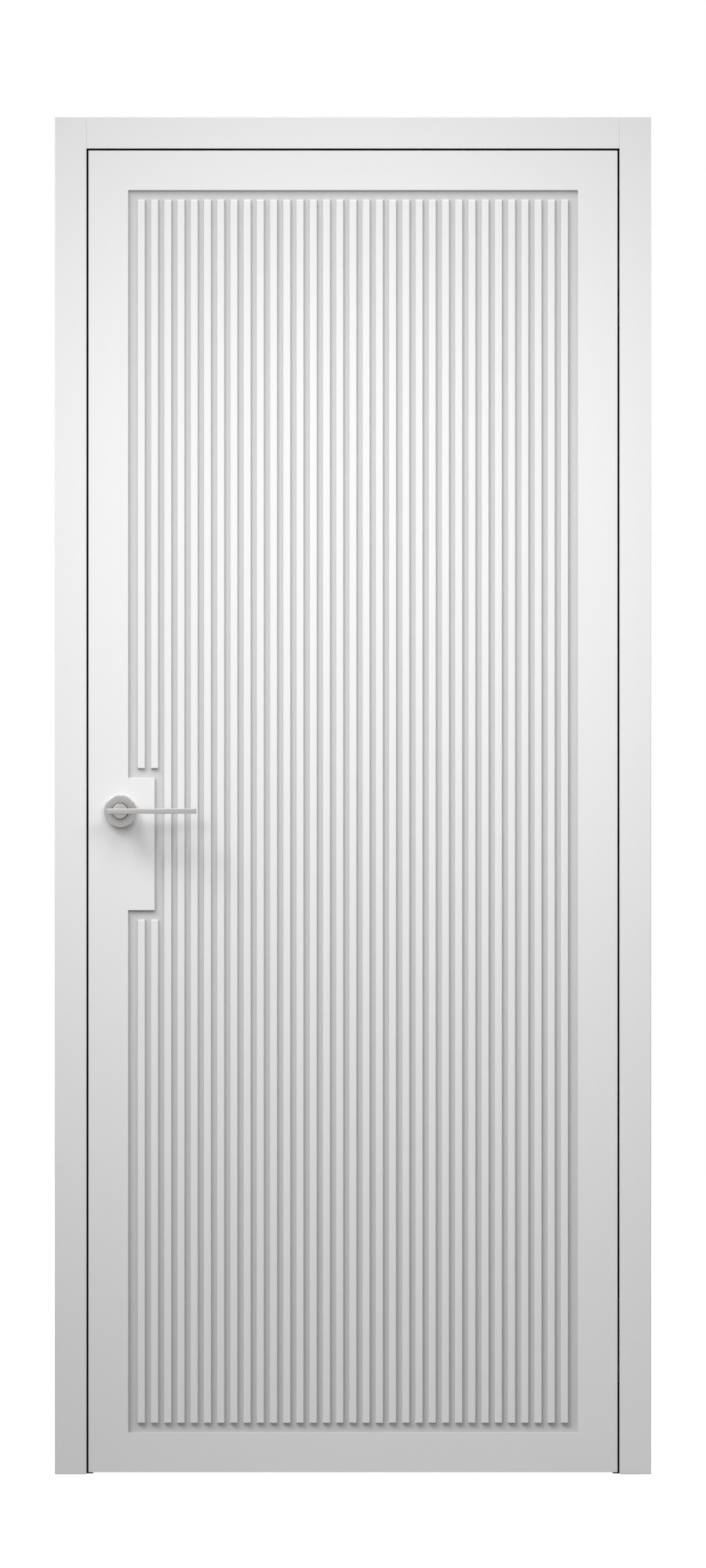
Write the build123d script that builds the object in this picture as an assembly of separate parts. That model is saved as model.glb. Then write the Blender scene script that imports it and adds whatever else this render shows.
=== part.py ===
from build123d import *
import math
import os

# A flush interior door: an 800 x 2000 mm leaf with ribbed faces, hung on concealed hinges in a lined frame.
# Working axes, in millimetres: x runs across the leaf from its centre towards the hinges, y runs into the
# wall from the plane of the front faces, and z runs up from the floor. Frame sections are drawn in (u, v):
# u is the distance out from the leaf's edge and v the depth behind the front faces. placed() then moves
# every piece so that the origin is on the hinge jamb's wall face, at the floor.

# Leaf
LEAF_WIDTH = 800.0
LEAF_HEIGHT = 2000.0
LEAF_DEPTH = 44.0
FACE_SHEET = 10.0            # thickness of each milled face sheet
REVEAL = 3.0                 # gap round the closed leaf, and under it
LATCH_BEVEL = 2.0            # the latch edge is this much narrower at the back
LATCH_STILE = 100.0          # widths of the solid framing between the two face sheets
HINGE_STILE = 60.0
RAIL = 60.0
LEAF_BOTTOM = REVEAL
LEAF_TOP = LEAF_BOTTOM + LEAF_HEIGHT
HALF_LEAF = LEAF_WIDTH / 2

# Ribbed panel
BORDER = 60.0                # plain border round the recess
RECESS_DEPTH = 5.0
RIB_PITCH = 20.0
RIB_COUNT = 33
RIB_WIDTH = 11.0
RIB_ARRIS = 0.7              # chamfer of the ribs' edges
RIB_MARGIN = 14.5            # recess floor left between the ribs and the recess wall
CUT_RIBS = 2                 # ribs interrupted by the handle field
HANDLE_FIELD_EDGE = 100.0    # the handle field reaches this far in from the latch edge
FIELD_ABOVE_HANDLE = 50.0
FIELD_BELOW_HANDLE = 150.0

# Handle
HANDLE_HEIGHT = 1003.5       # above the floor
BACKSET = 48.0
ROSE_RADIUS = 24.5
ROSE_DEPTH = 9.0
ROSE_ARRIS = 1.5
ROSE_BORE_FIT = 0.5
NECK_RADIUS = 11.5
NECK_LENGTH = 29.0
NECK_CLEAR = 1.0             # between the neck and the face of the leaf, under the rose
GRIP_LENGTH = 136.0
GRIP_HEIGHT = 8.0
GRIP_DEPTH = 16.0
GRIP_BEHIND_AXIS = 20.5      # the grip runs past the handle axis by this much on the latch side
GRIP_ARRIS = 0.6
SPINDLE = 8.0
SPINDLE_BORE = 9.0           # radius of the hole bored through the leaf
SPINDLE_IN_NECK = 18.5
HUB_RADIUS = 6.5

# Latch and strike
FACEPLATE_HEIGHT = 196.0
FACEPLATE_WIDTH = 18.0
FACEPLATE_DEPTH = 2.0
FACEPLATE_ROUND = 8.5
CASE_HEIGHT = 150.0
CASE_DEPTH = 64.0
CASE_WIDTH = 14.0
CASE_BELOW_HANDLE = 95.0     # the case hangs this far below the handle axis
BOLT_HEIGHT = 34.0
BOLT_WIDTH = 9.0
BOLT_LENGTH = 12.0
BOLT_PROUD = 0.4
STRIKE_HEIGHT = 120.0
STRIKE_WIDTH = 24.0
STRIKE_DEPTH = 1.5
KEEP_MARGIN = 4.0            # the keep's pocket is larger than the bolt by this much all round
KEEP_DEPTH = 14.0

# Frame
CASING_WIDTH = 48.0
CASING_DEPTH = 10.0
CASING_ROUND = 1.0
WALL_DEPTH = 100.0           # the wall between the two rows of casings
REBATE = 5.0                 # u of the jamb's rebate behind the casing, wider than the reveal
JAMB_OUT = 33.0              # u of the face against the wall
STOP_IN = -7.0               # u of the stop's inner edge, behind the leaf
STOP_FACE = 50.0             # v of the stop face
JAMB_BACK = 62.0
KEY = 4.0                    # thickness of the front casings' tongue, in a groove of the jambs
KEY_IN = 26.0                # u where that tongue starts
KEY_LENGTH = 8.0
LINING = 10.0                # thickness of the lining board
LINING_IN = -5.0             # u of the lining's visible face
CHANNEL_DEPTH = 8.0          # the lining seats this deep in the jamb
TONGUE = 6.0                 # thickness of the back casings' tongue, behind the lining
TONGUE_LENGTH = 20.0
SEAL_CLEAR = 0.5             # between the seal and the back of the leaf
SEAL_EDGE = 0.3              # between the seal and the rebate
SEAL_FOOT = 2.0
SEAL_FOOT_IN = 4.0           # from the stop's inner edge to the foot's groove

# Concealed hinges
HINGE_COUNT = 2
HINGE_FROM_END = 200.0       # from the leaf's ends to the centre of the end hinges
CUP_HEIGHT = 160.0
CUP_FRONT = CASING_DEPTH     # v of the cups' front wall
CUP_BACK = 40.0
CUP_FLOOR = 23.0             # u of the back of the jamb's cup
CUP_WALL = 1.5
CUP_END = 15.0               # solid end of each cup
PIN_RADIUS = 1.6
PIN_FIT = 0.1                # running clearance round each pin
PIN_IN_CUP = 7.0
ARM_HALF_WIDTH = 3.0
ARM_SIDE = 10.4              # from the swing axis out to an arm's own pin
ARM_BACK = 18.0              # from the swing axis back to an arm's own pin
AXIS_FORWARD = 2.0           # the swing axis stands this far in front of the faces
SWING_LIMIT = 105.0          # degrees
PLATE_COUNT = 3              # arm plates stacked in a hinge, belonging to the two arms in turn
PLATE_GAP = 0.5              # between neighbouring arm plates

CASING_OUT = REVEAL + CASING_WIDTH
LINING_OUT = LINING_IN + LINING
JAMB_MIDDLE = (CASING_DEPTH + JAMB_BACK) / 2
BACK_FACE = CASING_DEPTH + WALL_DEPTH
AXIS_X = HALF_LEAF + REVEAL / 2
AXIS_Y = -AXIS_FORWARD
HANDLE_X = -HALF_LEAF + BACKSET
ORIGIN = Location((-(HALF_LEAF + JAMB_OUT), -JAMB_MIDDLE, 0))


def placed(shape):
    """The shape moved from the working axes to the part's own frame."""
    return shape.moved(ORIGIN)


def slab(x0, x1, y0, y1, z0, z1):
    """A rectangular block between two corners."""
    size = (x1 - x0, y1 - y0, z1 - z0)
    return Pos((x0 + x1) / 2, (y0 + y1) / 2, (z0 + z1) / 2) * Box(*size)


def outline(*points):
    """A flat face through corner points."""
    return make_face(Polyline(*points, close=True))


def panel(u0, u1, v0, v1):
    """A rectangle of a frame section."""
    return outline((u0, v0), (u1, v0), (u1, v1), (u0, v1))


def mirrored(shape):
    """The shape on the latch side that matches one on the hinge side."""
    return mirror(shape, about=Plane.YZ)


def in_leaf(shape):
    """The shape in the leaf that matches one in the jamb, about the middle of the hinge-side gap."""
    return mirror(shape, about=Plane.YZ.offset(AXIS_X))


def to_back(shape):
    """The shape on the back of the leaf that matches one on its front."""
    return mirror(shape, about=Plane.XZ.offset(-LEAF_DEPTH / 2))


# Frame: two sides and a head of each section, mitred at the two upper corners

def corner_wedge(above):
    """What the mitre takes from a side length (above) or from the head (not above), on the hinge side."""
    low, high = 2 * STOP_IN, 2 * JAMB_OUT
    third = (low, high) if above else (high, low)
    corners = [(HALF_LEAF + x, 0, LEAF_TOP + z) for x, z in ((low, low), (high, high), third)]
    return extrude(outline(*corners), 2 * WALL_DEPTH, dir=(0, 1, 0))


def frame_lengths(section, name):
    """The two mitred sides and the mitred head of one section."""
    reach = section.bounding_box().max.X
    side = extrude(Pos(HALF_LEAF, 0, 0) * section, LEAF_TOP + reach, dir=(0, 0, 1))
    side -= corner_wedge(above=True)
    half = HALF_LEAF + reach
    head_end = Plane(origin=(-half, 0, LEAF_TOP), x_dir=(0, 0, 1), z_dir=(-1, 0, 0))
    head = extrude(head_end * section, 2 * half, dir=(1, 0, 0))
    wedge = corner_wedge(above=False)
    head = head - wedge - mirrored(wedge)
    return {f"{name}_hinge": side, f"{name}_latch": mirrored(side), f"{name}_head": head}


def jamb_section():
    """The rebated jamb, with grooves for the casing's key and the seal, and a channel for the lining."""
    section = panel(REBATE, JAMB_OUT, CASING_DEPTH, JAMB_BACK)
    section += panel(STOP_IN, REBATE, STOP_FACE, JAMB_BACK)
    section -= panel(KEY_IN, KEY_IN + KEY, CASING_DEPTH, CASING_DEPTH + KEY_LENGTH)
    section -= panel(LINING_IN, LINING_OUT, JAMB_BACK - CHANNEL_DEPTH, JAMB_BACK)
    return section - seal_foot()


def seal_foot():
    start = STOP_IN + SEAL_FOOT_IN
    return panel(start, start + SEAL_FOOT, STOP_FACE, STOP_FACE + SEAL_FOOT)


def seal_section():
    """A rubber bulb that the back of the leaf closes on, with a foot in the jamb's groove."""
    inner, outer = STOP_IN, REBATE - SEAL_EDGE
    crown = ((inner + outer) / 2, LEAF_DEPTH + SEAL_CLEAR)
    bulb = ThreePointArc((inner, STOP_FACE), crown, (outer, STOP_FACE))
    base = Line((outer, STOP_FACE), (inner, STOP_FACE))
    return make_face([bulb, base]) + seal_foot()


def lining_section():
    return panel(LINING_IN, LINING_OUT, JAMB_BACK - CHANNEL_DEPTH, BACK_FACE)


def strike_middle():
    return HANDLE_HEIGHT - CASE_BELOW_HANDLE + CASE_HEIGHT - BOLT_HEIGHT


def keep_pocket(depth):
    """The space behind the strike plate that the bolt is drawn into."""
    seat, middle, z = -HALF_LEAF - REBATE, LEAF_DEPTH / 2, strike_middle()
    half_width, half_height = BOLT_WIDTH / 2 + KEEP_MARGIN, BOLT_HEIGHT / 2 + KEEP_MARGIN
    return slab(seat - depth, seat, middle - half_width, middle + half_width, z - half_height, z + half_height)


def strike_body():
    seat, middle, z = -HALF_LEAF - REBATE, LEAF_DEPTH / 2, strike_middle()
    half_width, half_height = STRIKE_WIDTH / 2, STRIKE_HEIGHT / 2
    body = slab(seat - STRIKE_DEPTH, seat, middle - half_width, middle + half_width,
                z - half_height, z + half_height)
    return fillet(body.edges().filter_by(Axis.X), STRIKE_WIDTH / 4)


def jambs():
    """The rebated jambs, cut out for the hinge cups and for the strike plate and its pocket."""
    lengths = frame_lengths(jamb_section(), "jamb")
    for z in hinge_heights():
        lengths["jamb_hinge"] -= cup_body(z, REBATE)
    lengths["jamb_latch"] -= strike_body() + keep_pocket(KEEP_DEPTH)
    return lengths


def front_casings():
    """Boards level with the leaf, keyed into the jambs. The head board stands between the two sides."""
    inner, outer, top = HALF_LEAF + REVEAL, HALF_LEAF + CASING_OUT, LEAF_TOP + CASING_OUT
    side = slab(inner, outer, 0, CASING_DEPTH, 0, top)
    side = fillet(outer_arris(side), CASING_ROUND)
    key = HALF_LEAF + KEY_IN
    side += slab(key, key + KEY, CASING_DEPTH, CASING_DEPTH + KEY_LENGTH, 0, LEAF_TOP)
    head = slab(-inner, inner, 0, CASING_DEPTH, LEAF_TOP + REVEAL, top)
    key = LEAF_TOP + KEY_IN
    head += slab(-inner, inner, CASING_DEPTH, CASING_DEPTH + KEY_LENGTH, key, key + KEY)
    return {"casing_front_hinge": side, "casing_front_latch": mirrored(side), "casing_front_head": head}


def outer_arris(board):
    """The upright front edge of a casing board that is farthest from the opening."""
    return board.edges().filter_by(Axis.Z).group_by(Axis.X)[-1].sort_by(Axis.Y)[:1]


def back_casings():
    """Boards over the other side of the wall. Their tongues slide in behind the linings."""
    inner, outer, top = HALF_LEAF + LINING_IN, HALF_LEAF + CASING_OUT, LEAF_TOP + CASING_OUT
    near, far = BACK_FACE, BACK_FACE + CASING_DEPTH
    side = slab(inner, outer, -far, -near, 0, top)
    side = mirror(fillet(outer_arris(side), CASING_ROUND), about=Plane.XZ)
    tongue = HALF_LEAF + LINING_OUT
    side += slab(tongue, tongue + TONGUE, near - TONGUE_LENGTH, near, 0, LEAF_TOP)
    head = slab(-inner, inner, near, far, LEAF_TOP + LINING_IN, top)
    tongue = LEAF_TOP + LINING_OUT
    head += slab(-inner, inner, near - TONGUE_LENGTH, near, tongue, tongue + TONGUE)
    return {"casing_back_hinge": side, "casing_back_latch": mirrored(side), "casing_back_head": head}


# Leaf: solid framing and a core between two milled face sheets

def latch_edge(v):
    """x of the bevelled latch edge at depth v."""
    return -HALF_LEAF + LATCH_BEVEL * v / LEAF_DEPTH


def leaf_slice(v0, v1):
    """The leaf's whole outline between two depths."""
    face = outline((latch_edge(v0), v0), (HALF_LEAF, v0), (HALF_LEAF, v1), (latch_edge(v1), v1))
    return Pos(0, 0, LEAF_BOTTOM) * extrude(face, LEAF_HEIGHT, dir=(0, 0, 1))


def handle_axis(start):
    """The place of a round piece on the handle axis that stands out from depth start towards the front."""
    return Location((HANDLE_X, start, HANDLE_HEIGHT), (90, 0, 0))


def turned(radius, depth, start):
    return handle_axis(start) * Cylinder(radius, depth, align=(Align.CENTER, Align.CENTER, Align.MIN))


def recess():
    """The sunk field of the panel, with the handle field left standing."""
    edge = HALF_LEAF - BORDER
    field = slab(-edge, edge, 0, RECESS_DEPTH, LEAF_BOTTOM + BORDER, LEAF_TOP - BORDER)
    return field - slab(-edge, -HALF_LEAF + HANDLE_FIELD_EDGE, 0, RECESS_DEPTH,
                        HANDLE_HEIGHT - FIELD_BELOW_HANDLE, HANDLE_HEIGHT + FIELD_ABOVE_HANDLE)


def rib(x, z0, z1):
    """One upright rib with eased arrises, standing on the recess floor."""
    bar = slab(x - RIB_WIDTH / 2, x + RIB_WIDTH / 2, 0, RECESS_DEPTH, z0, z1)
    return chamfer(bar.faces().sort_by(Axis.Y)[0].edges(), RIB_ARRIS)


def ribs():
    """The row of ribs. The first few stop short of the handle field and start again below it."""
    low, high = LEAF_BOTTOM + BORDER + RIB_MARGIN, LEAF_TOP - BORDER - RIB_MARGIN
    field_low = HANDLE_HEIGHT - FIELD_BELOW_HANDLE - RIB_MARGIN
    field_high = HANDLE_HEIGHT + FIELD_ABOVE_HANDLE + RIB_MARGIN
    first = -RIB_PITCH * (RIB_COUNT - 1) / 2
    row = []
    for k in range(RIB_COUNT):
        spans = [(low, field_low), (field_high, high)] if k < CUT_RIBS else [(low, high)]
        row += [rib(first + k * RIB_PITCH, z0, z1) for z0, z1 in spans]
    return row


def face_sheets():
    """The two milled sheets. The back one is the front one turned over and fitted to the bevel."""
    front = leaf_slice(0, FACE_SHEET) - recess()
    front = front.fuse(*ribs()) - turned(SPINDLE_BORE, 3 * FACE_SHEET, 2 * FACE_SHEET)
    back = to_back(front) & leaf_slice(LEAF_DEPTH - FACE_SHEET, LEAF_DEPTH)
    for z in hinge_heights():
        back -= in_leaf(cup_body(z, REVEAL))
    return {"face_sheet_front": front, "face_sheet_back": back}


def framing():
    """Stiles, rails and the light core that fills the space between them."""
    whole = leaf_slice(FACE_SHEET, LEAF_DEPTH - FACE_SHEET)
    v0, v1 = FACE_SHEET, LEAF_DEPTH - FACE_SHEET
    latch_in, hinge_in = -HALF_LEAF + LATCH_STILE, HALF_LEAF - HINGE_STILE
    latch_stile = whole & slab(-HALF_LEAF, latch_in, v0, v1, LEAF_BOTTOM, LEAF_TOP)
    latch_stile -= turned(SPINDLE_BORE, 2 * LEAF_DEPTH, 1.5 * LEAF_DEPTH)
    latch_stile -= latch_body()
    hinge_stile = slab(hinge_in, HALF_LEAF, v0, v1, LEAF_BOTTOM, LEAF_TOP)
    for z in hinge_heights():
        hinge_stile -= in_leaf(cup_body(z, REVEAL))
    return {
        "stile_latch": latch_stile,
        "stile_hinge": hinge_stile,
        "rail_top": slab(latch_in, hinge_in, v0, v1, LEAF_TOP - RAIL, LEAF_TOP),
        "rail_bottom": slab(latch_in, hinge_in, v0, v1, LEAF_BOTTOM, LEAF_BOTTOM + RAIL),
        "core": slab(latch_in, hinge_in, v0, v1, LEAF_BOTTOM + RAIL, LEAF_TOP - RAIL),
    }


# Latch, strike and handle

def on_latch_edge(shape):
    """A shape drawn about the middle of a square latch edge, tilted onto the bevelled one."""
    tilt = math.degrees(math.atan2(LATCH_BEVEL, LEAF_DEPTH))
    return Location((latch_edge(LEAF_DEPTH / 2), LEAF_DEPTH / 2, 0), (0, 0, -tilt)) * shape


def latch_body():
    """Faceplate and case in one block, which also cuts their seat in the stile."""
    low, middle = HANDLE_HEIGHT - CASE_BELOW_HANDLE, HANDLE_HEIGHT - CASE_BELOW_HANDLE + CASE_HEIGHT / 2
    half_width, half_height = FACEPLATE_WIDTH / 2, FACEPLATE_HEIGHT / 2
    plate = slab(0, FACEPLATE_DEPTH, -half_width, half_width, middle - half_height, middle + half_height)
    plate = fillet(plate.edges().filter_by(Axis.X), FACEPLATE_ROUND)
    case = slab(0, CASE_DEPTH, -CASE_WIDTH / 2, CASE_WIDTH / 2, low, low + CASE_HEIGHT)
    return on_latch_edge(plate + case)


def bolt_block(proud):
    """The magnetic bolt, which rests nearly level with the faceplate until the strike draws it out."""
    z = strike_middle()
    half_width, half_height = BOLT_WIDTH / 2, BOLT_HEIGHT / 2
    return on_latch_edge(slab(-proud, BOLT_LENGTH, -half_width, half_width, z - half_height, z + half_height))


def latch_pieces():
    latch = latch_body() - turned(HUB_RADIUS, LEAF_DEPTH, LEAF_DEPTH) - bolt_block(BOLT_PROUD)
    return {
        "latch": latch,
        "latch_bolt": bolt_block(BOLT_PROUD),
        "strike_plate": strike_body() - keep_pocket(KEEP_DEPTH),
    }


def spindle_square(start, end):
    half = SPINDLE / 2
    return slab(HANDLE_X - half, HANDLE_X + half, start, end, HANDLE_HEIGHT - half, HANDLE_HEIGHT + half)


def handle_pieces():
    """Rose and lever on the front, their twins on the back, and the spindle that joins the levers."""
    rose = turned(ROSE_RADIUS, ROSE_DEPTH, 0)
    rose = chamfer(rose.edges().group_by(Axis.Y)[0], ROSE_ARRIS)
    rose -= turned(NECK_RADIUS + ROSE_BORE_FIT, 2 * ROSE_DEPTH, ROSE_DEPTH / 2)
    grip_back = -ROSE_DEPTH - NECK_LENGTH
    neck = turned(NECK_RADIUS, -grip_back - NECK_CLEAR, -NECK_CLEAR)
    x0 = HANDLE_X - GRIP_BEHIND_AXIS
    half = GRIP_HEIGHT / 2
    grip = slab(x0, x0 + GRIP_LENGTH, grip_back - GRIP_DEPTH, grip_back,
                HANDLE_HEIGHT - half, HANDLE_HEIGHT + half)
    lever = neck + chamfer(grip.edges(), GRIP_ARRIS) - spindle_square(-SPINDLE_IN_NECK, 0)
    return {
        "rose_front": rose,
        "rose_back": to_back(rose),
        "lever_front": lever,
        "lever_back": to_back(lever),
        "spindle": spindle_square(-SPINDLE_IN_NECK, LEAF_DEPTH + SPINDLE_IN_NECK),
    }


# Concealed hinges: two cups, and two arms pinned to each other and to one cup each

def hinge_heights():
    low, high = LEAF_BOTTOM + HINGE_FROM_END, LEAF_TOP - HINGE_FROM_END
    return [low + (high - low) * k / (HINGE_COUNT - 1) for k in range(HINGE_COUNT)]


def cup_body(z, mouth):
    """A cup as a solid block with round ends, open face at u = mouth, which also cuts its seat."""
    middle = (CUP_FRONT + CUP_BACK) / 2
    face = Plane(origin=(HALF_LEAF + mouth, middle, z), x_dir=(0, 0, 1), z_dir=(1, 0, 0))
    slot = face * SlotOverall(CUP_HEIGHT, CUP_BACK - CUP_FRONT)
    return extrude(slot, CUP_FLOOR - mouth, dir=(1, 0, 0))


def arm_pin():
    """(x, y) of the pin that holds the jamb's arm in its cup."""
    return AXIS_X + ARM_SIDE, AXIS_Y + ARM_BACK


def centre_pin():
    """(x, y) of the pin that joins the two arms, with the leaf closed."""
    return AXIS_X, AXIS_Y + 2 * ARM_BACK


def elbow():
    """(x, y) of the arm's bend, placed so that the open arm lies square round the casing's corner."""
    (px, py), (cx, cy) = arm_pin(), centre_pin()
    turn = math.radians(SWING_LIMIT)
    reach = -((cx - px) * math.cos(turn) - (cy - py) * math.sin(turn))
    return px - reach * math.cos(turn), py + reach * math.sin(turn)


def pin(x, y, z0, z1, radius=PIN_RADIUS):
    return Pos(x, y, (z0 + z1) / 2) * Cylinder(radius, z1 - z0)


def cup(z, mouth):
    """A hinge cup: a pocket for the folded arms, and bores in its ends for the arm's pin."""
    reach = CUP_HEIGHT / 2 - CUP_END
    pocket = slab(HALF_LEAF, HALF_LEAF + CUP_FLOOR - CUP_WALL, CUP_FRONT + CUP_WALL, CUP_BACK - CUP_WALL,
                  z - reach, z + reach)
    bore = reach + PIN_IN_CUP + PIN_FIT
    return cup_body(z, mouth) - pocket - pin(*arm_pin(), z - bore, z + bore, PIN_RADIUS + PIN_FIT)


def arm_plate(z0, z1):
    """A flat plate bent at the elbow, from the arm's own pin to the centre pin."""
    stops = [arm_pin(), elbow(), centre_pin()]
    plate = Sketch()
    for (ax, ay), (bx, by) in zip(stops, stops[1:]):
        angle = math.degrees(math.atan2(by - ay, bx - ax))
        limb = SlotCenterToCenter(math.hypot(bx - ax, by - ay), 2 * ARM_HALF_WIDTH, rotation=angle)
        plate += Pos((ax + bx) / 2, (ay + by) / 2) * limb
    return Pos(0, 0, z0) * extrude(plate, z1 - z0, dir=(0, 0, 1))


def plate_spans(z):
    """Heights of the stacked plates. The outer two are the jamb arm's, the middle one the leaf arm's."""
    reach = CUP_HEIGHT / 2 - CUP_END
    pitch = (2 * reach - PLATE_GAP) / PLATE_COUNT
    low = z - reach + PLATE_GAP
    return [(low + k * pitch, low + (k + 1) * pitch - PLATE_GAP) for k in range(PLATE_COUNT)]


def hinge_arms(z):
    """The jamb's arm, which carries the centre pin, and the leaf's arm, which turns on it."""
    spans = plate_spans(z)
    reach = CUP_HEIGHT / 2 - CUP_END + PIN_IN_CUP
    own_pin = pin(*arm_pin(), z - reach, z + reach)
    jamb_arm = own_pin + pin(*centre_pin(), spans[0][0], spans[-1][1])
    for z0, z1 in spans[::2]:
        jamb_arm += arm_plate(z0, z1)
    leaf_arm = own_pin
    for z0, z1 in spans[1::2]:
        leaf_arm += arm_plate(z0, z1)
    leaf_arm = in_leaf(leaf_arm) - pin(*centre_pin(), spans[0][0], spans[-1][1], PIN_RADIUS + PIN_FIT)
    return jamb_arm, leaf_arm


def hinges():
    found = {}
    for place, z in zip(("bottom", "top"), hinge_heights()):
        found[f"hinge_cup_jamb_{place}"] = cup(z, REBATE)
        found[f"hinge_cup_leaf_{place}"] = in_leaf(cup(z, REVEAL))
        jamb_arm, leaf_arm = hinge_arms(z)
        found[f"hinge_arm_jamb_{place}"] = jamb_arm
        found[f"hinge_arm_leaf_{place}"] = leaf_arm
    return found


def build():
    """Every piece by name, in the part's own frame."""
    seals = frame_lengths(seal_section(), "seal")
    linings = frame_lengths(lining_section(), "lining")
    pieces = {}
    for group in (jambs(), seals, linings, front_casings(), back_casings(), face_sheets(), framing(),
                  latch_pieces(), handle_pieces(), hinges()):
        pieces.update(group)
    return {name: placed(shape) for name, shape in pieces.items()}


os.makedirs("parts", exist_ok=True)
for name, shape in build().items():
    export_step(shape, f"parts/{name}.step")
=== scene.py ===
import math
from functools import partial

import bmesh
import bpy
from mathutils import Matrix, Vector


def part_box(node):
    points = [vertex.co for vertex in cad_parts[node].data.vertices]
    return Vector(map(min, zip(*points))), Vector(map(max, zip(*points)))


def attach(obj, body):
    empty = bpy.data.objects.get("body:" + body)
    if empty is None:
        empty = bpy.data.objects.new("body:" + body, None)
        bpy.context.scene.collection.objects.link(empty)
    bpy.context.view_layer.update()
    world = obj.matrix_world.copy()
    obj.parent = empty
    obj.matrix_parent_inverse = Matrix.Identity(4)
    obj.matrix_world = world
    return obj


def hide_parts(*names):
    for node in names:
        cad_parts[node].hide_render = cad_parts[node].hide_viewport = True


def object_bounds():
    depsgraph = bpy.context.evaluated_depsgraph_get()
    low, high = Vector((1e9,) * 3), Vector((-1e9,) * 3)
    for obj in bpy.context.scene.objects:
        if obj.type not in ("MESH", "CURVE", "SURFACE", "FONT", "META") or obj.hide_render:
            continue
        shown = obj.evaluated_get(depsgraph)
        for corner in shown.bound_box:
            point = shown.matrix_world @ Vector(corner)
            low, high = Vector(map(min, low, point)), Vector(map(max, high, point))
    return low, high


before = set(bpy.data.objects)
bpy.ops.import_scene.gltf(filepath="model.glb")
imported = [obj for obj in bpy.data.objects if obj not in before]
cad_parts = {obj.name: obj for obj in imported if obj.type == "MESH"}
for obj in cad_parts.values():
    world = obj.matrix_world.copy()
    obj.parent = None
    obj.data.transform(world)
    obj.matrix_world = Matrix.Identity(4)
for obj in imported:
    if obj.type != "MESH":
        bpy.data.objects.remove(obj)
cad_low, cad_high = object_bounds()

# The viewer stands square in front of the closed door, far enough away that nothing converges. The photograph
# is 2000 pixels high and the door's casings take 1731 of them, from the floor line up.
PHOTO_HEIGHT = 2000
FLOOR_LINE = 1880.4
HEAD_LINE = 149.1
EYE_DISTANCE = 40.0
SENSOR = 36.0
casing_low, casing_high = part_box("casing_front_latch")
door_left = casing_low.x
door_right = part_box("casing_front_hinge")[1].x
door_middle = (door_left + door_right) / 2
door_top = casing_high.z
metres_a_pixel = door_top / (FLOOR_LINE - HEAD_LINE)
view_height = PHOTO_HEIGHT * metres_a_pixel
eye_height = (FLOOR_LINE - PHOTO_HEIGHT / 2) * metres_a_pixel

eye = bpy.data.cameras.new("eye")
eye.sensor_fit = "VERTICAL"
eye.sensor_height = SENSOR
eye.lens = SENSOR * EYE_DISTANCE / view_height
eye.clip_end = 3 * EYE_DISTANCE
viewer = bpy.data.objects.new("viewer", eye)
viewer.location = (door_middle, casing_low.y - EYE_DISTANCE, eye_height)
viewer.rotation_euler = (math.radians(90), 0, 0)
bpy.context.scene.collection.objects.link(viewer)
bpy.context.scene.camera = viewer
bpy.context.scene.view_settings.view_transform = "Standard"

# The room is a pale floor under an even white surround. Both look white to the eye and in metal, and light
# the door at a lower, plain level. Their materials and the door's are sums on the sockets of shader nodes.
SURROUND_WHITE = (1.0, 1.0, 1.0, 1.0)
SURROUND_LIGHT = 0.28
SEEING_RAYS = ("Is Camera Ray", "Is Glossy Ray", "Is Transmission Ray")
FLOOR_COLOUR = (0.2, 0.2, 0.2, 1.0)
FLOOR_PALE = (0.22, 0.22, 0.22, 1.0)
FLOOR_BLOTCH = 0.6
FLOOR_GLOW = (0.92, 0.92, 0.92, 1.0)
NO_GLOW = (0.0, 0.0, 0.0, 1.0)
FLOOR_HALF = 30.0
FLOOR_DROP = 0.0005
MIX_FIRST, MIX_SECOND, MIX_COLOUR = 6, 7, 2


class Wire:
    """An output of a finish's shader, so that sums on it add the nodes that work them out."""

    def __init__(self, finish, socket):
        self.finish = finish
        self.socket = socket

    def sum(self, operation, first, second):
        return self.finish.node("ShaderNodeMath", {"operation": operation}, {0: first, 1: second})

    def __add__(self, other):
        return self.sum("ADD", self, other)

    def __radd__(self, other):
        return self.sum("ADD", other, self)

    def __sub__(self, other):
        return self.sum("SUBTRACT", self, other)

    def __rsub__(self, other):
        return self.sum("SUBTRACT", other, self)

    def __mul__(self, other):
        return self.sum("MULTIPLY", self, other)

    def __rmul__(self, other):
        return self.sum("MULTIPLY", other, self)

    def __gt__(self, other):
        return self.sum("GREATER_THAN", self, other)

    def __lt__(self, other):
        return self.sum("LESS_THAN", self, other)


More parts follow.
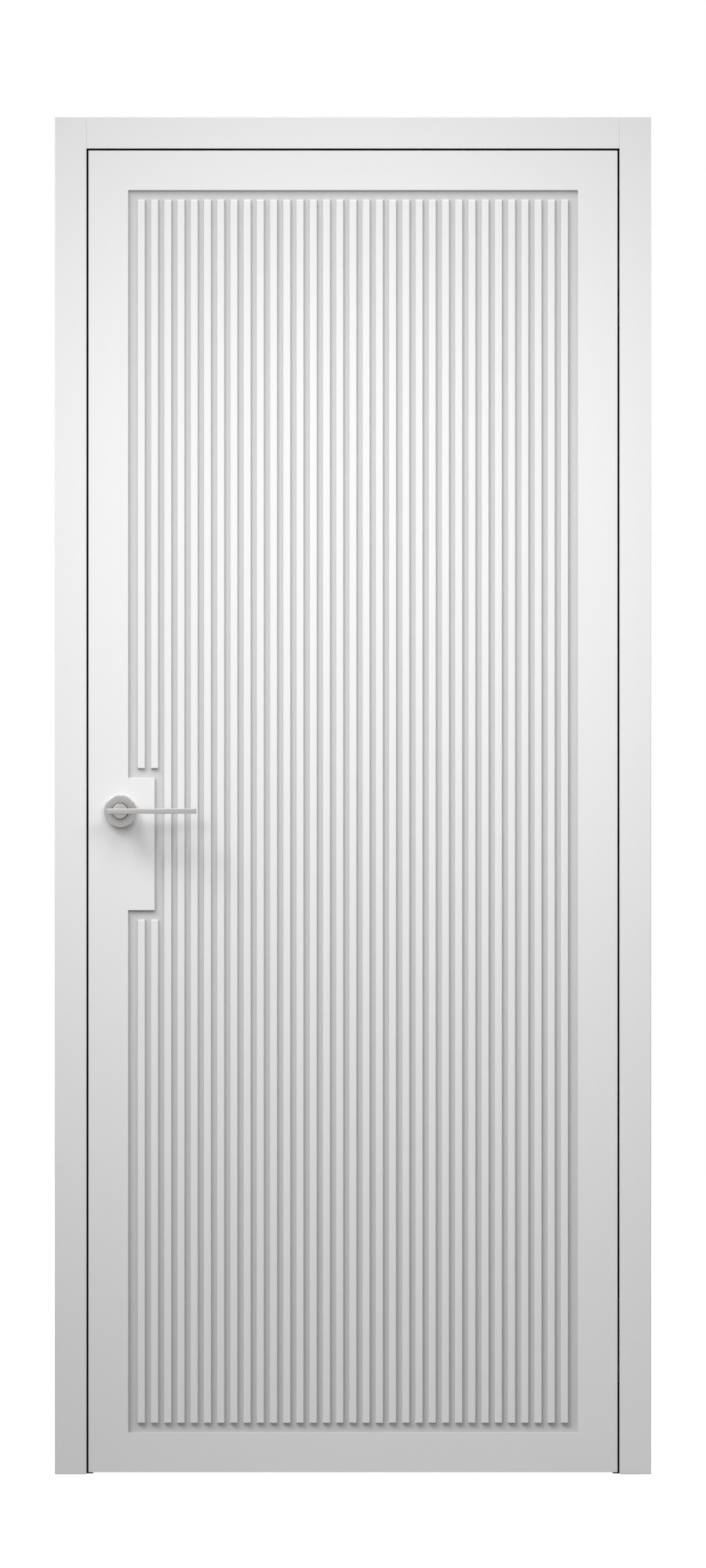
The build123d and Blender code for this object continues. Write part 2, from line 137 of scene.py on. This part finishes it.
class Finish:
    """The shader of one finish, or of the surround, built node by node."""

    def __init__(self, name, owner=None):
        self.owner = owner or bpy.data.materials.new(name)
        self.owner.use_nodes = True
        self.tree = self.owner.node_tree
        self.tree.nodes.clear()

    def node(self, kind, settings=None, values=None, out=0):
        """A node with its settings and the values or wires of its sockets, as the wire of its output out."""
        made = self.tree.nodes.new(kind)
        for name, setting in (settings or {}).items():
            setattr(made, name, setting)
        for socket, value in (values or {}).items():
            if isinstance(value, Wire):
                self.tree.links.new(value.socket, made.inputs[socket])
            else:
                made.inputs[socket].default_value = value
        return Wire(self, made.outputs[out]) if made.outputs else made

    def surface(self, **sockets):
        """A principled surface, its sockets named with underscores for spaces."""
        values = {name.replace("_", " "): value for name, value in sockets.items()}
        shader = self.node("ShaderNodeBsdfPrincipled", None, values)
        self.node("ShaderNodeOutputMaterial", None, {"Surface": shader})
        return self.owner

    def blend(self, amount, first, second):
        """A colour between two colours."""
        sockets = {"Factor": amount, MIX_FIRST: first, MIX_SECOND: second}
        return self.node("ShaderNodeMix", {"data_type": "RGBA"}, sockets, out=MIX_COLOUR)

    def place(self):
        """Where a point is on the piece, in metres."""
        return self.node("ShaderNodeTexCoord", out="Object")

    def noise(self, size, stretch=(1, 1, 1), detail=2.0):
        """A soft random value from 0 to 1 whose blotches are about size metres across."""
        scaled = self.node("ShaderNodeVectorMath", {"operation": "MULTIPLY"}, {0: self.place(), 1: stretch})
        return self.node("ShaderNodeTexNoise", None, {"Vector": scaled, "Scale": 1 / size, "Detail": detail})

    def bump(self, height, depth):
        """A surface raised by height, a value from 0 to 1, times depth in metres."""
        return self.node("ShaderNodeBump", None, {"Height": height, "Strength": 1.0, "Distance": depth})

    def looked_at(self):
        """1 where a thing is seen, straight, in metal or through glass, and 0 where it only gives light."""
        seen, mirrored, through = [self.node("ShaderNodeLightPath", out=ray) for ray in SEEING_RAYS]
        clamped = {"operation": "ADD", "use_clamp": True}
        return self.node("ShaderNodeMath", clamped, {0: seen + mirrored, 1: through})


surround = Finish("surround", bpy.data.worlds.new("surround"))
bpy.context.scene.world = surround.owner
level = surround.looked_at() * (1 - SURROUND_LIGHT) + SURROUND_LIGHT
sky = surround.node("ShaderNodeBackground", None, {"Color": SURROUND_WHITE, "Strength": level})
surround.node("ShaderNodeOutputWorld", None, {"Surface": sky})

floor_mesh = bpy.data.meshes.new("floor")
floor_shape = bmesh.new()
bmesh.ops.create_grid(floor_shape, x_segments=4, y_segments=4, size=FLOOR_HALF)
floor_shape.to_mesh(floor_mesh)
floor_shape.free()
floor = bpy.data.objects.new("floor", floor_mesh)
floor.location = (door_middle, 0, -FLOOR_DROP)
bpy.context.scene.collection.objects.link(floor)
screed = Finish("pale_floor")
floor_tone = screed.blend(screed.noise(FLOOR_BLOTCH), FLOOR_COLOUR, FLOOR_PALE)
glow = screed.blend(screed.looked_at(), NO_GLOW, FLOOR_GLOW)
floor_mesh.materials.append(screed.surface(Base_Color=floor_tone, Roughness=0.8, Emission_Color=glow,
                                           Emission_Strength=1.0))

# The light is soft. Three lamps above the viewer fade towards the floor. A far larger one high on the left
# shades the grooves and throws the lever's faint shadow. The last stands behind the door and lights its back.
FRONT_AIM = Vector((door_middle, casing_low.y, 1.28))
FRONT_FALLS = {"left": (0.6, 1.0, -0.45), "middle": (0.1, 1.0, -1.15), "right": (-0.5, 1.0, -0.6)}
HIGH_AIM = Vector((door_middle, casing_low.y, 1.7))
HIGH_FALL = (1.15, 1.0, -1.75)
BACK_AIM = Vector((door_middle, cad_high.y, 1.2))
BACK_FALL = (-0.9, -1.0, -0.6)


def hang_lamp(name, aim, fall, distance, beam, size, power):
    """A round lamp at a distance from aim, its beam in degrees going the way of fall."""
    light = bpy.data.lights.new(name, "SPOT")
    light.energy = power
    light.spot_size = math.radians(beam)
    light.spot_blend = 1.0
    light.shadow_soft_size = size
    lamp = bpy.data.objects.new(name, light)
    lamp.location = aim - distance * Vector(fall).normalized()
    lamp.rotation_euler = Vector(fall).to_track_quat("-Z", "Y").to_euler()
    bpy.context.scene.collection.objects.link(lamp)


for side, fall in FRONT_FALLS.items():
    hang_lamp(f"front_{side}_lamp", FRONT_AIM, fall, distance=3.0, beam=48.5, size=0.7, power=130.0)
hang_lamp("high_lamp", HIGH_AIM, HIGH_FALL, distance=12.0, beam=26.0, size=3.2, power=6700.0)
hang_lamp("back_lamp", BACK_AIM, BACK_FALL, distance=4.0, beam=60.0, size=0.8, power=650.0)

# The casings, linings and jambs are fibreboard with a sprayed white satin lacquer. The spray leaves a very
# fine even orange peel, and its tone drifts a little over a board. The edges that face the gap are black,
# which also paints the shade of the gap.
LACQUER = (0.827, 0.83, 0.829, 1.0)
LACQUER_DEEP = (0.812, 0.815, 0.814, 1.0)
# The recess floor's darker tone is painted shade.
RECESS_PAINTED_SHADE = (0.588, 0.59, 0.59, 1.0)
LACQUER_ROUGHNESS = 0.36
ROUGHNESS_DRIFT = 0.06
DRIFT_SIZE = 0.35
PEEL_SIZE = 0.0012
PEEL_DEPTH = 0.000012
# The black of the gap's edges also paints the shade in the gap.
EDGE_BLACK_AND_SHADE = (0.012, 0.012, 0.012, 1.0)
EDGE_SKIN = 0.0004
ARRIS_WHITE = 0.0013
BOARD_ROUND = 0.0009
ROUND_ANGLE = 25.0
ROUND_STEPS = 3
WELD_REACH = 0.00001
FLAT_ANGLE = 0.5
opening_left = casing_high.x
opening_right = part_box("casing_front_hinge")[0].x
opening_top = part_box("casing_front_head")[0].z


def sprayed(name, black=None, painted_shade=None):
    """The white lacquer. One mask takes black paint, which also paints the gap's shade, the other painted
    shade on the recess floor.
    """
    lacquer = Finish(name)
    drift = lacquer.noise(DRIFT_SIZE)
    tone = lacquer.blend(drift, LACQUER, LACQUER_DEEP)
    # The recess floor is painted darker, as painted shade.
    if painted_shade:
        tone = lacquer.blend(painted_shade(lacquer), tone, RECESS_PAINTED_SHADE)
    # The gap's edges are painted black, which also paints their shade.
    if black:
        tone = lacquer.blend(black(lacquer), tone, EDGE_BLACK_AND_SHADE)
    peel = lacquer.bump(lacquer.noise(PEEL_SIZE), PEEL_DEPTH)
    roughness = LACQUER_ROUGHNESS + drift * ROUGHNESS_DRIFT
    return lacquer.surface(Base_Color=tone, Roughness=roughness, Normal=peel, Specular_IOR_Level=0.4)


def axes_of(finish):
    """The x, y and z of a point on the piece, each as a wire."""
    return [finish.node("ShaderNodeSeparateXYZ", None, {0: finish.place()}, out=axis) for axis in "XYZ"]


def paint(node, finish, width=None):
    """Gives a carried-over piece its finish, and rounds its sharp edges by width as the real one's are."""
    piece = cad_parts[node]
    piece.data.materials.clear()
    piece.data.materials.append(finish)
    if width is None:
        return
    weld = piece.modifiers.new("weld", "WELD")
    weld.merge_threshold = WELD_REACH
    flats = piece.modifiers.new("flats", "DECIMATE")
    flats.decimate_type = "DISSOLVE"
    flats.angle_limit = math.radians(FLAT_ANGLE)
    edges = piece.modifiers.new("eased edges", "BEVEL")
    edges.width = width
    edges.segments = ROUND_STEPS
    edges.limit_method = "ANGLE"
    edges.angle_limit = math.radians(ROUND_ANGLE)
    edges.harden_normals = True


def gap_edge(finish):
    """The casing's edges round the gap, behind their white arris, painted black, which also paints the gap's
    shade.
    """
    x, y, z = axes_of(finish)
    across = (x > opening_left - EDGE_SKIN) * (x < opening_right + EDGE_SKIN)
    return across * (z < opening_top + EDGE_SKIN) * (y > casing_low.y + ARRIS_WHITE)


board_white = sprayed("board_lacquer")
casing_white = sprayed("casing_lacquer", gap_edge)
for side in ("hinge", "latch", "head"):
    paint(f"casing_front_{side}", casing_white, BOARD_ROUND)
    for group in ("casing_back", "lining", "jamb"):
        paint(f"{group}_{side}", board_white, BOARD_ROUND)

# The leaf is two milled fibreboard sheets over a timber frame and a raw board core. Its faces are white,
# with painted shade on the floor of the recess, painted darker. Its edges are matt black, which also paints
# the shade of the gap, so that the shut leaf stands in a thin black line.
BEVEL_LEAN = 0.0007
RIB_ROUND = 0.00045
FLOOR_DEPTH = 0.0035
TIMBER_ROUND = 0.0002
EDGE_WORN = (0.02, 0.02, 0.02, 1.0)
FIBRE_DARK = (0.55, 0.43, 0.29, 1.0)
FIBRE_PALE = (0.68, 0.56, 0.41, 1.0)
front_low, front_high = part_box("face_sheet_front")
back_low, back_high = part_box("face_sheet_back")


def behind_face(finish, side, depth):
    """What lies more than depth behind the leaf's face on one side."""
    y = axes_of(finish)[1]
    return y > front_low.y + depth if side == "front" else y < back_high.y - depth


def leaf_edge(finish, side):
    """The four edges of a face sheet behind its white arris, painted black, which also paints the gap's
    shade. The latch edge leans with its bevel.
    """
    low, high = (front_low, front_high) if side == "front" else (back_low, back_high)
    x, _, z = axes_of(finish)
    inside = (x > low.x + BEVEL_LEAN) * (x < high.x - EDGE_SKIN)
    inside = inside * (z > low.z + EDGE_SKIN) * (z < high.z - EDGE_SKIN)
    return (1 - inside) * behind_face(finish, side, ARRIS_WHITE)


def grained(name, dark, pale, size, roughness, spread=0.0, depth=0.0, metallic=0.0, stretch=(1, 1, 1),
            detail=2.0):
    """A finish whose grain, size metres across, goes from dark to pale, rougher by spread and up by depth."""
    finish = Finish(name)
    grain = finish.noise(size, stretch, detail)
    sockets = {"Base_Color": finish.blend(grain, dark, pale), "Metallic": metallic}
    sockets["Roughness"] = roughness + grain * spread if spread else roughness
    if depth:
        sockets["Normal"] = finish.bump(grain, depth)
    return finish.surface(**sockets)


for side in ("front", "back"):
    # The face sheets' edges are painted black, which also paints the gap's shade.
    edges_of_face = partial(leaf_edge, side=side)
    # The recess floor is painted darker, as painted shade.
    recess_shade_mask = partial(behind_face, side=side, depth=FLOOR_DEPTH)
    paint(f"face_sheet_{side}", sprayed(f"{side}_lacquer", edges_of_face, recess_shade_mask), RIB_ROUND)
# The leaf's timber edges are black, which also paints the shade of the gap.
edge_black_and_shade = grained("black_edge_and_shade", EDGE_BLACK_AND_SHADE, EDGE_WORN, size=0.003, roughness=0.5, spread=0.1,
                     depth=0.00002, stretch=(1, 1, 0.1))
for node in ("stile_latch", "stile_hinge", "rail_top", "rail_bottom"):
    paint(node, edge_black_and_shade, TIMBER_ROUND)
paint("core", grained("raw_board", FIBRE_DARK, FIBRE_PALE, size=0.002, roughness=0.85, detail=4.0))

# The seals are black rubber bulbs pushed into a groove of the stop, and the leaf closes on them. The rubber
# is matt, with a little dust on it.
RUBBER_BLACK = (0.008, 0.008, 0.008, 1.0)
RUBBER_DUSTY = (0.014, 0.014, 0.014, 1.0)
DUST_SIZE = 0.004
RUBBER_ROUGHNESS = 0.62
DUST_ROUGHNESS = 0.15
SKIN_SIZE = 0.0008
SKIN_DEPTH = 0.00001

rubber = Finish("seal_rubber")
dust = rubber.noise(DUST_SIZE)
rubber_skin = rubber.bump(rubber.noise(SKIN_SIZE), SKIN_DEPTH)
rubber_black = rubber.surface(Base_Color=rubber.blend(dust, RUBBER_BLACK, RUBBER_DUSTY),
                              Roughness=RUBBER_ROUGHNESS + dust * DUST_ROUGHNESS, Normal=rubber_skin)
for side in ("hinge", "latch", "head"):
    paint(f"seal_{side}", rubber_black)

# The roses are pressed covers in satin nickel, turned on a lathe, that clip over a base plate. A nylon ring
# lines the bore that the lever's neck turns in.
NICKEL = (0.425, 0.417, 0.408, 1.0)
NICKEL_DEEP = (0.375, 0.366, 0.356, 1.0)
NICKEL_CLOUD = 0.012
NICKEL_SPREAD = 0.12
GRAIN_SHARE = 0.6
LATHE_ROUGHNESS = 0.27
LATHE_SCALE = 2600.0
LATHE_DRIFT = 0.1
LATHE_DEPTH = 0.000006
NYLON_BLACK = (0.03, 0.03, 0.03, 1.0)
NYLON_PALE = (0.05, 0.05, 0.05, 1.0)
COVER_BORE = 0.0124
BORE_ROUND = 0.0004
BORE_LIFT = 0.0002
RING_BORE = 0.0117
RING_SINK = 0.0012
ROSE_ROUND = 0.0012
ROSE_FOOT = 0.0009
FOOT_STEP = 0.0003
FOOT_EASE = 0.0001
ROSE_STEPS = 128
cover_low, cover_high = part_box("rose_front")
handle_x = (cover_low.x + cover_high.x) / 2
handle_z = (cover_low.z + cover_high.z) / 2
rose_radius = (cover_high.x - cover_low.x) / 2
rose_depth = cover_high.y - cover_low.y
door_front = cover_high.y
door_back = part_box("rose_back")[0].y


def mesh_of(name, shape):
    """A mesh from a bmesh, its faces turned outwards."""
    mesh = bpy.data.meshes.new(name)
    bmesh.ops.recalc_face_normals(shape, faces=shape.faces)
    shape.to_mesh(mesh)
    shape.free()
    return mesh


def as_piece(name, shape, finish, smooth_angle=30.0):
    """A finished object from a bmesh, with soft shading between its sharp edges."""
    mesh = mesh_of(name, shape)
    for face in mesh.polygons:
        face.use_smooth = True
    mesh.set_sharp_from_angle(angle=math.radians(smooth_angle))
    mesh.materials.append(finish)
    piece = bpy.data.objects.new(name, mesh)
    bpy.context.scene.collection.objects.link(piece)
    return piece


def corner(centre_r, centre_h, radius, start, end, points=5):
    """Points of a rounded corner of a turned profile, from one angle to another."""
    angles = [math.radians(start + (end - start) * k / (points - 1)) for k in range(points)]
    return [(centre_r + radius * math.cos(a), centre_h + radius * math.sin(a)) for a in angles]


def turn(shape, profile, place, steps=ROSE_STEPS, closed=True):
    """Turns a profile of (radius, height) about the line that stands out from a place, along x or y."""
    first, out = place
    across, up = Vector((abs(out.y), abs(out.x), 0)), Vector((0, 0, 1))
    rings = []
    for radius, height in profile:
        if radius == 0:
            rings.append([shape.verts.new(first + out * height)] * steps)
            continue
        ring = []
        for k in range(steps):
            angle = 2 * math.pi * k / steps
            side = across * math.cos(angle) + up * math.sin(angle)
            ring.append(shape.verts.new(first + side * radius + out * height))
        rings.append(ring)
    pairs = list(zip(rings, rings[1:]))
    if closed:
        pairs.append((rings[-1], rings[0]))
    for lower, upper in pairs:
        for k in range(steps):
            m = (k + 1) % steps
            corners = []
            for point in (lower[k], lower[m], upper[m], upper[k]):
                if point not in corners:
                    corners.append(point)
            if len(corners) > 2:
                shape.faces.new(corners)


def turned_nickel():
    """Satin nickel with the fine rings that turning and polishing leave round the handle's axis."""
    metal = Finish("turned_nickel")
    x, y, z = axes_of(metal)
    across, up = x - handle_x, z - handle_z
    radius = metal.node("ShaderNodeMath", {"operation": "SQRT"}, {0: across * across + up * up})
    spot = metal.node("ShaderNodeCombineXYZ", None, {"X": radius, "Y": y * LATHE_DRIFT})
    rings = metal.node("ShaderNodeTexNoise", None, {"Vector": spot, "Scale": LATHE_SCALE, "Detail": 3.0})
    cloud = metal.noise(NICKEL_CLOUD) * (1 - GRAIN_SHARE)
    tone = metal.blend(rings * GRAIN_SHARE + cloud, NICKEL_DEEP, NICKEL)
    return metal.surface(Base_Color=tone, Metallic=1.0, Roughness=LATHE_ROUGHNESS + rings * NICKEL_SPREAD,
                         Normal=metal.bump(rings, LATHE_DEPTH))


rose_metal = turned_nickel()
nylon = grained("nylon_ring", NYLON_BLACK, NYLON_PALE, size=0.002, roughness=0.45)
cover_profile = [(COVER_BORE, BORE_LIFT)]
cover_profile += corner(COVER_BORE + BORE_ROUND, rose_depth - BORE_ROUND, BORE_ROUND, 180, 90)
cover_profile += corner(rose_radius - ROSE_ROUND, rose_depth - ROSE_ROUND, ROSE_ROUND, 90, 0, 7)
cover_profile += [(rose_radius, ROSE_FOOT + FOOT_STEP),
                  (rose_radius - FOOT_STEP, ROSE_FOOT + 2 * FOOT_EASE),
                  (rose_radius - FOOT_STEP, ROSE_FOOT),
                  (rose_radius - FOOT_EASE, ROSE_FOOT - FOOT_EASE),
                  (rose_radius - FOOT_EASE, 0.0)]
ring_profile = [(RING_BORE, 0.0), (RING_BORE, rose_depth - RING_SINK),
                (COVER_BORE, rose_depth - RING_SINK), (COVER_BORE, 0.0)]
handle_places = {"front": (Vector((handle_x, door_front, handle_z)), Vector((0, -1, 0))),
                 "back": (Vector((handle_x, door_back, handle_z)), Vector((0, 1, 0)))}
for face, place in handle_places.items():
    shape = bmesh.new()
    turn(shape, cover_profile, place)
    rose = as_piece(f"rose_cover_{face}", shape, rose_metal)
    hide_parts(f"rose_{face}")
    shape = bmesh.new()
    turn(shape, ring_profile, place)
    ring = as_piece(f"rose_ring_{face}", shape, nylon)
    for piece in (rose, ring):
        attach(piece, "leaf")

# Each lever is a flat bar soldered across the end of a round neck, in the same satin nickel. The bar is
# brushed along its length, and a grub screw under the neck holds it on the spindle.
BAR_DEPTH = 0.016
BAR_HALF = 0.004
BAR_ROUND = 0.0011
BAR_END_ROUND = 0.0009
BAR_END_STEPS = (0.0, 0.29, 0.71, 1.0)
BRUSH_SIZE = 0.0011
BRUSH_STRETCH = (0.02, 1, 1)
BRUSH_ROUGHNESS = 0.28
BRUSH_DEPTH = 0.000008
BAR_CLOUD = 0.02
NECK_ROUND = 0.0006
NECK_SINK = 0.0009
NECK_STEPS = 96
GRUB_RADIUS = 0.0025
GRUB_ALONG = 0.62
GRUB_STEPS = 24
GRUB_PROFILE = ((0.0012, 1.0), (0.0002, 1.0), (-0.0001, 0.9), (-0.0001, 0.55), (0.0009, 0.5))
GRUB_DARK = (0.1, 0.1, 0.1, 1.0)
GRUB_PALE = (0.16, 0.16, 0.16, 1.0)
lever_low, lever_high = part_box("lever_front")
bar_left, bar_right = lever_low.x, lever_high.x
neck_radius = (lever_high.z - lever_low.z) / 2
neck_reach = door_front - lever_low.y - BAR_DEPTH


def rounded_loop(half_wide, half_high, radius, points=5):
    """The corners of a rounded rectangle, anticlockwise."""
    loop = []
    for quarter, (sx, sz) in enumerate(((1, 1), (-1, 1), (-1, -1), (1, -1))):
        loop += corner(sx * (half_wide - radius), sz * (half_high - radius), radius,
                       90 * quarter, 90 * quarter + 90, points)
    return loop


def loft(shape, loops):
    """A closed solid through loops of points, each with the same number of them."""
    rings = [[shape.verts.new(point) for point in loop] for loop in loops]
    count = len(rings[0])
    for lower, upper in zip(rings, rings[1:]):
        for k in range(count):
            m = (k + 1) % count
            shape.faces.new((lower[k], lower[m], upper[m], upper[k]))
    shape.faces.new(list(reversed(rings[0])))
    shape.faces.new(rings[-1])


def brushed_nickel():
    """Satin nickel brushed along the bar."""
    metal = Finish("brushed_nickel")
    strokes = metal.noise(BRUSH_SIZE, BRUSH_STRETCH, detail=4.0)
    cloud = metal.noise(BAR_CLOUD) * (1 - GRAIN_SHARE)
    tone = metal.blend(strokes * GRAIN_SHARE + cloud, NICKEL_DEEP, NICKEL)
    return metal.surface(Base_Color=tone, Metallic=1.0, Roughness=BRUSH_ROUGHNESS + strokes * NICKEL_SPREAD,
                         Normal=metal.bump(strokes, BRUSH_DEPTH))


def lever_bar(name, first, out, finish):
    """The flat bar across the neck's end, its two ends eased as well as its edges."""
    middle_y = first.y + out.y * (neck_reach + BAR_DEPTH / 2)
    ends = []
    for step in BAR_END_STEPS:
        shrink = BAR_END_ROUND * (1 - math.sqrt(1 - (1 - step) ** 2))
        ends.append((bar_left + BAR_END_ROUND * step, shrink))
    ends += [(bar_left + bar_right - x, shrink) for x, shrink in reversed(ends)]
    loops = []
    for x, shrink in ends:
        section = rounded_loop(BAR_DEPTH / 2 - shrink, BAR_HALF - shrink, BAR_ROUND - shrink)
        loops.append([(x, middle_y + v, handle_z + w) for v, w in section])
    shape = bmesh.new()
    loft(shape, loops)
    return as_piece(name, shape, finish, smooth_angle=50.0)


def lever_neck(name, first, out, finish):
    """The round neck, from inside the rose to the bar."""
    profile = [(0.0, -NECK_SINK), (neck_radius - NECK_ROUND, -NECK_SINK)]
    profile += corner(neck_radius - NECK_ROUND, neck_reach - NECK_ROUND, NECK_ROUND, 0, 90)
    profile += [(0.0, neck_reach)]
    shape = bmesh.new()
    turn(shape, profile, (first, out), steps=NECK_STEPS, closed=False)
    return as_piece(name, shape, finish)


def grub_screw(name, first, out, finish):
    """The grub screw in the neck's underside, with a round socket for its key."""
    under = first + out * (neck_reach * GRUB_ALONG) + Vector((0, 0, -neck_radius))
    angles = [2 * math.pi * k / GRUB_STEPS for k in range(GRUB_STEPS)]
    loops = []
    for height, size in GRUB_PROFILE:
        radius = GRUB_RADIUS * size
        loops.append([under + Vector((radius * math.cos(a), radius * math.sin(a), height)) for a in angles])
    shape = bmesh.new()
    loft(shape, loops)
    return as_piece(name, shape, finish)


bar_nickel = brushed_nickel()
grub_steel = grained("grub_screw_steel", GRUB_DARK, GRUB_PALE, size=0.001, roughness=0.4, metallic=1.0)
for face, (first, out) in handle_places.items():
    bar = lever_bar(f"lever_bar_{face}", first, out, bar_nickel)
    neck = lever_neck(f"lever_neck_{face}", first, out, rose_metal)
    grub = grub_screw(f"lever_grub_{face}", first, out, grub_steel)
    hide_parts(f"lever_{face}")
    for piece in (bar, neck, grub):
        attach(piece, "handle")

# The latch is a satin stainless faceplate on a zinc plated case, let into the leaf's edge, with a magnetic
# bolt. Two cross-headed screws hold the faceplate and two more the strike plate on the jamb.
STEEL = (0.52, 0.52, 0.51, 1.0)
STEEL_DEEP = (0.44, 0.44, 0.435, 1.0)
PLATE_ROUND = 0.0003
BOLT_ROUND = 0.0008
LATCH_SCREW_INSET = 0.012
HEAD_RADIUS = 0.0038
HEAD_FOOT = 0.75
HEAD_SINK = 0.0015
HEAD_EDGE = 0.0001
HEAD_PROUD = 0.00005
HEAD_DOME = 0.0004
DOME_STEPS = 5
HEAD_STEPS = 40
CROSS_REACH = 0.0021
CROSS_HALF = 0.00045
CROSS_SECTIONS = ((0.001, 1.15), (-0.001, 0.6))
FIRST_TWIST = 0.6
NEXT_TWIST = 1.1


def satin_steel(name, along):
    """Stainless steel brushed along one axis."""
    return grained(name, STEEL_DEEP, STEEL, size=0.0009, roughness=0.3, spread=0.14, depth=0.000008,
                   metallic=1.0, stretch=along, detail=4.0)


def screw_blank():
    """A countersunk head with a low dome, about the origin and facing -x."""
    dome = [math.radians(90 * k / DOME_STEPS) for k in range(1, DOME_STEPS)]
    profile = [(0.0, -HEAD_SINK), (HEAD_RADIUS * HEAD_FOOT, -HEAD_SINK)]
    profile += [(HEAD_RADIUS, -HEAD_EDGE), (HEAD_RADIUS, HEAD_PROUD)]
    profile += [(HEAD_RADIUS * math.cos(a), HEAD_DOME * math.sin(a) + HEAD_PROUD) for a in dome]
    profile += [(0.0, HEAD_DOME + HEAD_PROUD)]
    head = bmesh.new()
    turn(head, profile, (Vector((0, 0, 0)), Vector((-1, 0, 0))), steps=HEAD_STEPS, closed=False)
    return mesh_of("screw_blank", head)


def cross_cutter():
    """Two crossed wedges, the shape of the recess for a cross-headed driver."""
    cross = bmesh.new()
    for turned_over in (False, True):
        loops = []
        for height, reach in CROSS_SECTIONS:
            long, short = CROSS_REACH * reach, CROSS_HALF * reach
            wide, high = (short, long) if turned_over else (long, short)
            signs = ((1, 1), (-1, 1), (-1, -1), (1, -1))
            loops.append([Vector((-height, y * wide, z * high)) for y, z in signs])
        loft(cross, loops)
    return mesh_of("cross_recess", cross)


def screw_mesh():
    """A countersunk head with its cross recess cut in it."""
    blank = bpy.data.objects.new("screw_blank", screw_blank())
    cutter = bpy.data.objects.new("cross_recess", cross_cutter())
    for helper in (blank, cutter):
        bpy.context.scene.collection.objects.link(helper)
    cut = blank.modifiers.new("recess", "BOOLEAN")
    cut.object = cutter
    cut.operation = "DIFFERENCE"
    cut.solver = "EXACT"
    cut.use_self = True
    cut_head = blank.evaluated_get(bpy.context.evaluated_depsgraph_get())
    finished = bpy.data.meshes.new_from_object(cut_head)
    for helper in (blank, cutter):
        bpy.data.objects.remove(helper)
    return finished


screw_head = screw_mesh()


def screw_pair(name, x, y, plate, inset, facing, finish):
    """Two screws near the ends of an upright plate, as one piece. Each is turned by its own angle."""
    low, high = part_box(plate)
    aim = facing.to_track_quat("-X", "Z").to_matrix().to_4x4()
    shape = bmesh.new()
    for k, z in enumerate((low.z + inset, high.z - inset)):
        start = len(shape.verts)
        shape.from_mesh(screw_head)
        shape.verts.ensure_lookup_table()
        twist = Matrix.Rotation(FIRST_TWIST + NEXT_TWIST * k, 4, "X")
        place = Matrix.Translation(Vector((x, y, z)))
        bmesh.ops.transform(shape, matrix=place @ aim @ twist, verts=shape.verts[start:])
    return as_piece(name, shape, finish)


plate_steel = satin_steel("plate_steel", (1, 1, 0.03))
for node in ("latch", "strike_plate"):
    paint(node, plate_steel, PLATE_ROUND)
paint("latch_bolt", satin_steel("bolt_steel", (1, 0.05, 1)), BOLT_ROUND)
paint("spindle", satin_steel("spindle_steel", (1, 0.03, 1)), PLATE_ROUND)
leaf_middle_y = (front_low.y + back_high.y) / 2
faceplate_x = (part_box("latch")[0].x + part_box("latch_bolt")[0].x) / 2
strike_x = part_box("strike_plate")[1].x
latch_screws = screw_pair("latch_screws", faceplate_x, leaf_middle_y, "latch", LATCH_SCREW_INSET,
                          Vector((-1, 0, 0)), plate_steel)
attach(latch_screws, "leaf")
strike_screws = screw_pair("strike_screws", strike_x, leaf_middle_y, "strike_plate", LATCH_SCREW_INSET,
                           Vector((1, 0, 0)), plate_steel)
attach(strike_screws, "frame")

# The hinges are die-cast zinc cups, painted silver grey, let into the leaf's edge and the jamb. Bright zinc
# plated steel arms turn on pins between them, and two screws hold each cup.
CAST_DARK = (0.34, 0.345, 0.35, 1.0)
CAST_PALE = (0.42, 0.425, 0.43, 1.0)
PLATED_BLUISH = (0.56, 0.57, 0.59, 1.0)
PLATED_YELLOWISH = (0.64, 0.63, 0.6, 1.0)
CUP_ROUND = 0.0004
ARM_ROUND = 0.0003
CUP_SCREW_INSET = 0.0085

cast_grey = grained("cast_zinc", CAST_DARK, CAST_PALE, size=0.0007, roughness=0.42, spread=0.1,
                    depth=0.00002, metallic=0.7, detail=3.0)
plated_bright = grained("plated_steel", PLATED_BLUISH, PLATED_YELLOWISH, size=0.008, roughness=0.24,
                        spread=0.12, metallic=1.0)
for place in ("bottom", "top"):
    for part, body, facing in (("jamb", "frame", Vector((-1, 0, 0))), ("leaf", "leaf", Vector((1, 0, 0)))):
        cup = f"hinge_cup_{part}_{place}"
        paint(cup, cast_grey, CUP_ROUND)
        paint(f"hinge_arm_{part}_{place}", plated_bright, ARM_ROUND)
        cup_low, cup_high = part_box(cup)
        mouth_x = cup_low.x if part == "jamb" else cup_high.x
        middle_y = (cup_low.y + cup_high.y) / 2
        held = screw_pair(f"hinge_screws_{part}_{place}", mouth_x, middle_y, cup, CUP_SCREW_INSET, facing,
                          plated_bright)
        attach(held, body)
